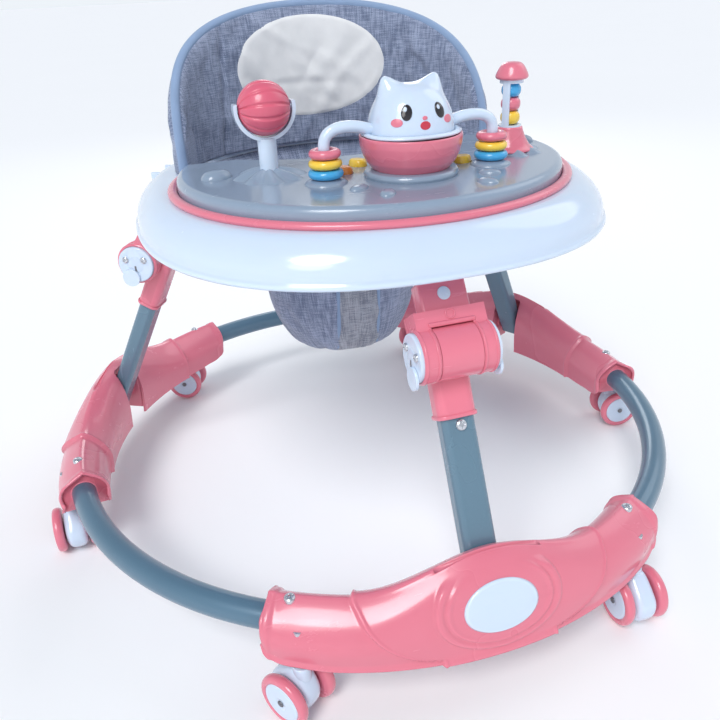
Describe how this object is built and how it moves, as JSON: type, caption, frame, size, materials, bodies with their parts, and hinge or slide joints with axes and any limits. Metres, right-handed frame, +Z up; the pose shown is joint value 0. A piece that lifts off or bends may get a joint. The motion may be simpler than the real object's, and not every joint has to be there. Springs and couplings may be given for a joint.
{
  "type": "baby walker",
  "caption": "Folding baby walker: round tube base on swivel casters, hinged legs, play tray with toys and a padded seat with a high back.",
  "frame": {"origin": "on the floor at the middle of the base ring", "axes": "+Z up, -Y towards the front leg and the toys, +X to the child's left"},
  "size_m": [0.7581, 0.7033, 0.538],
  "materials": {
    "pink_plastic": "moulded, satin gloss",
    "white_plastic": "moulded, glossy",
    "grey_plastic": "moulded, satin",
    "leg_paint": "powder coat, satin",
    "ring_paint": "powder coat, satin",
    "steel": "zinc plated",
    "orange_plastic": "moulded, glossy",
    "yellow_plastic": "moulded, glossy",
    "toy_ring_plastic": "moulded, three colours",
    "linen": "melange linen weave, padded"
  },
  "bodies": {
    "base": {"ring_tube_left": "ring_paint", "ring_tube_rear": "ring_paint", "ring_tube_right": "ring_paint", "front_fairing": "pink_plastic", "left_fairing": "pink_plastic", "right_fairing": "pink_plastic", "front_badge_plate": "white_plastic", "fairing_screws": "steel", "leg_base_pins": "steel", "caster_pins": "steel"},
    "front_lower_leg": {"front_leg_tube": "leg_paint", "front_knee_socket": "pink_plastic", "front_knee_caps": "white_plastic", "front_knee_pin": "steel", "front_leg_screws": "steel"},
    "front_levers": {"front_release_levers": "white_plastic"},
    "front_upper_leg": {"front_upper_bracket": "pink_plastic"},
    "right_lower_leg": {"right_leg_tube": "leg_paint", "right_knee_socket": "pink_plastic", "right_knee_caps": "white_plastic", "right_knee_pin": "steel", "right_leg_screws": "steel"},
    "right_levers": {"right_release_levers": "white_plastic"},
    "right_upper_leg": {"right_upper_bracket": "pink_plastic"},
    "left_lower_leg": {"left_leg_tube": "leg_paint", "left_knee_socket": "pink_plastic", "left_knee_caps": "white_plastic", "left_knee_pin": "steel", "left_leg_screws": "steel"},
    "left_levers": {"left_release_levers": "white_plastic"},
    "left_upper_leg": {"left_upper_bracket": "pink_plastic"},
    "tray": {"tray_shell": "white_plastic", "trim_ring": "pink_plastic", "play_panel": "grey_plastic", "tray_pivot_pins": "steel", "cat_bowl": "pink_plastic", "cat_figure": "white_plastic", "ball_yoke": "white_plastic", "bead_post_ends": "pink_plastic", "bead_frame": "white_plastic", "seat_back": "linen", "seat_sling": "linen"},
    "ball": {"spinning_ball": "pink_plastic"},
    "beads": {"post_beads": "toy_ring_plastic"},
    "left_rings": {"left_arm_rings": "toy_ring_plastic"},
    "right_rings": {"right_arm_rings": "toy_ring_plastic"},
    "left_keys": {"left_petal_keys": "orange_plastic"},
    "right_keys": {"right_petal_keys": "orange_plastic"},
    "front_left_swivel": {"front_left_caster": "white_plastic"},
    "front_left_wheel_set": {"front_left_wheels": "pink_plastic"},
    "front_right_swivel": {"front_right_caster": "white_plastic"},
    "front_right_wheel_set": {"front_right_wheels": "pink_plastic"},
    "right_front_swivel": {"right_front_caster": "white_plastic"},
    "right_front_wheel_set": {"right_front_wheels": "pink_plastic"},
    "right_rear_swivel": {"right_rear_caster": "white_plastic"},
    "right_rear_wheel_set": {"right_rear_wheels": "pink_plastic"},
    "left_rear_swivel": {"left_rear_caster": "white_plastic"},
    "left_rear_wheel_set": {"left_rear_wheels": "pink_plastic"},
    "left_front_swivel": {"left_front_caster": "white_plastic"},
    "left_front_wheel_set": {"left_front_wheels": "pink_plastic"}
  },
  "joints": [
    {"name": "front_fold", "type": "hinge", "parent": "base", "child": "front_lower_leg", "pos_m": [0, -0.323, 0.092], "axis": [-1, 0, 0], "range_deg": [0, 36.8]},
    {"name": "front_knee", "type": "hinge", "parent": "front_lower_leg", "child": "front_upper_leg", "pos_m": [0, -0.24808, 0.28498], "axis": [-1, 0, 0], "range_deg": [-128.8, 0]},
    {"name": "front_lever", "type": "hinge", "parent": "front_lower_leg", "child": "front_levers", "pos_m": [0, -0.24808, 0.28498], "axis": [-1, 0, 0], "range_deg": [-15, 15], "stiffness_Nm_per_rad": 0.2},
    {"name": "right_fold", "type": "hinge", "parent": "base", "child": "right_lower_leg", "pos_m": [0.28386, 0.15412, 0.092], "axis": [0.4772, -0.8788, 0], "range_deg": [0, 36.8]},
    {"name": "right_knee", "type": "hinge", "parent": "right_lower_leg", "child": "right_upper_leg", "pos_m": [0.21802, 0.11837, 0.28498], "axis": [0.4772, -0.8788, 0], "range_deg": [-128.8, 0]},
    {"name": "right_lever", "type": "hinge", "parent": "right_lower_leg", "child": "right_levers", "pos_m": [0.21802, 0.11837, 0.28498], "axis": [0.4772, -0.8788, 0], "range_deg": [-15, 15], "stiffness_Nm_per_rad": 0.2},
    {"name": "left_fold", "type": "hinge", "parent": "base", "child": "left_lower_leg", "pos_m": [-0.28386, 0.15412, 0.092], "axis": [0.4772, 0.8788, 0], "range_deg": [0, 36.8]},
    {"name": "left_knee", "type": "hinge", "parent": "left_lower_leg", "child": "left_upper_leg", "pos_m": [-0.21802, 0.11837, 0.28498], "axis": [0.4772, 0.8788, 0], "range_deg": [-128.8, 0]},
    {"name": "left_lever", "type": "hinge", "parent": "left_lower_leg", "child": "left_levers", "pos_m": [-0.21802, 0.11837, 0.28498], "axis": [0.4772, 0.8788, 0], "range_deg": [-15, 15], "stiffness_Nm_per_rad": 0.2},
    {"name": "front_tray_pivot", "type": "hinge", "parent": "front_upper_leg", "child": "tray", "pos_m": [0, -0.208, 0.345], "axis": [-1, 0, 0], "range_deg": [0, 92]},
    {"name": "front_left_swivel_turn", "type": "hinge", "parent": "base", "child": "front_left_swivel", "pos_m": [-0.16184, -0.3109, 0.05], "axis": [0, 0, 1], "continuous": true},
    {"name": "front_left_roll", "type": "hinge", "parent": "front_left_swivel", "child": "front_left_wheel_set", "pos_m": [-0.1652, -0.30592, 0.025], "axis": [-0.829, -0.5592, 0], "continuous": true},
    {"name": "front_right_swivel_turn", "type": "hinge", "parent": "base", "child": "front_right_swivel", "pos_m": [0.16184, -0.3109, 0.05], "axis": [0, 0, 1], "continuous": true},
    {"name": "front_right_roll", "type": "hinge", "parent": "front_right_swivel", "child": "front_right_wheel_set", "pos_m": [0.16163, -0.31689, 0.025], "axis": [0.9994, -0.0349, 0], "continuous": true},
    {"name": "right_front_swivel_turn", "type": "hinge", "parent": "base", "child": "right_front_swivel", "pos_m": [0.35045, -0.00612, 0.05], "axis": [0, 0, 1], "continuous": true},
    {"name": "right_front_roll", "type": "hinge", "parent": "right_front_swivel", "child": "right_front_wheel_set", "pos_m": [0.35635, -0.00716, 0.025], "axis": [0.1736, 0.9848, 0], "continuous": true},
    {"name": "right_rear_swivel_turn", "type": "hinge", "parent": "base", "child": "right_rear_swivel", "pos_m": [0.18574, 0.29724, 0.05], "axis": [0, 0, 1], "continuous": true},
    {"name": "right_rear_roll", "type": "hinge", "parent": "right_rear_swivel", "child": "right_rear_wheel_set", "pos_m": [0.19137, 0.29929, 0.025], "axis": [-0.342, 0.9397, 0], "continuous": true},
    {"name": "left_rear_swivel_turn", "type": "hinge", "parent": "base", "child": "left_rear_swivel", "pos_m": [-0.18574, 0.29724, 0.05], "axis": [0, 0, 1], "continuous": true},
    {"name": "left_rear_roll", "type": "hinge", "parent": "left_rear_swivel", "child": "left_rear_wheel_set", "pos_m": [-0.19137, 0.29929, 0.025], "axis": [-0.342, -0.9397, 0], "continuous": true},
    {"name": "left_front_swivel_turn", "type": "hinge", "parent": "base", "child": "left_front_swivel", "pos_m": [-0.35045, -0.00612, 0.05], "axis": [0, 0, 1], "continuous": true},
    {"name": "left_front_roll", "type": "hinge", "parent": "left_front_swivel", "child": "left_front_wheel_set", "pos_m": [-0.35024, -0.01211, 0.025], "axis": [0.9994, 0.0349, 0], "continuous": true},
    {"name": "ball_spin", "type": "hinge", "parent": "tray", "child": "ball", "pos_m": [-0.104, -0.079, 0.463], "axis": [1, 0, 0], "continuous": true},
    {"name": "beads_spin", "type": "hinge", "parent": "tray", "child": "beads", "pos_m": [0.132, -0.086, 0.45], "axis": [0, 0, 1], "continuous": true},
    {"name": "left_rings_turn", "type": "hinge", "parent": "tray", "child": "left_rings", "pos_m": [-0.065, -0.128, 0.42], "axis": [0, 0, 1], "continuous": true},
    {"name": "right_rings_turn", "type": "hinge", "parent": "tray", "child": "right_rings", "pos_m": [0.091, -0.128, 0.42], "axis": [0, 0, 1], "continuous": true},
    {"name": "left_keys_press", "type": "slide", "parent": "tray", "child": "left_keys", "axis": [0, 0, -1], "range_m": [0, 0.003], "stiffness_N_per_m": 300, "springref_m": -0.0005},
    {"name": "right_keys_press", "type": "slide", "parent": "tray", "child": "right_keys", "axis": [0, 0, -1], "range_m": [0, 0.003], "stiffness_N_per_m": 300, "springref_m": -0.0005}
  ],
  "couplings": [
    {"joint": "front_knee", "follows": "front_fold", "ratio": -3.5},
    {"joint": "front_tray_pivot", "follows": "front_fold", "ratio": 2.5},
    {"joint": "left_fold", "follows": "front_fold", "ratio": 1},
    {"joint": "left_knee", "follows": "front_fold", "ratio": -3.5},
    {"joint": "right_fold", "follows": "front_fold", "ratio": 1},
    {"joint": "right_knee", "follows": "front_fold", "ratio": -3.5}
  ]
}
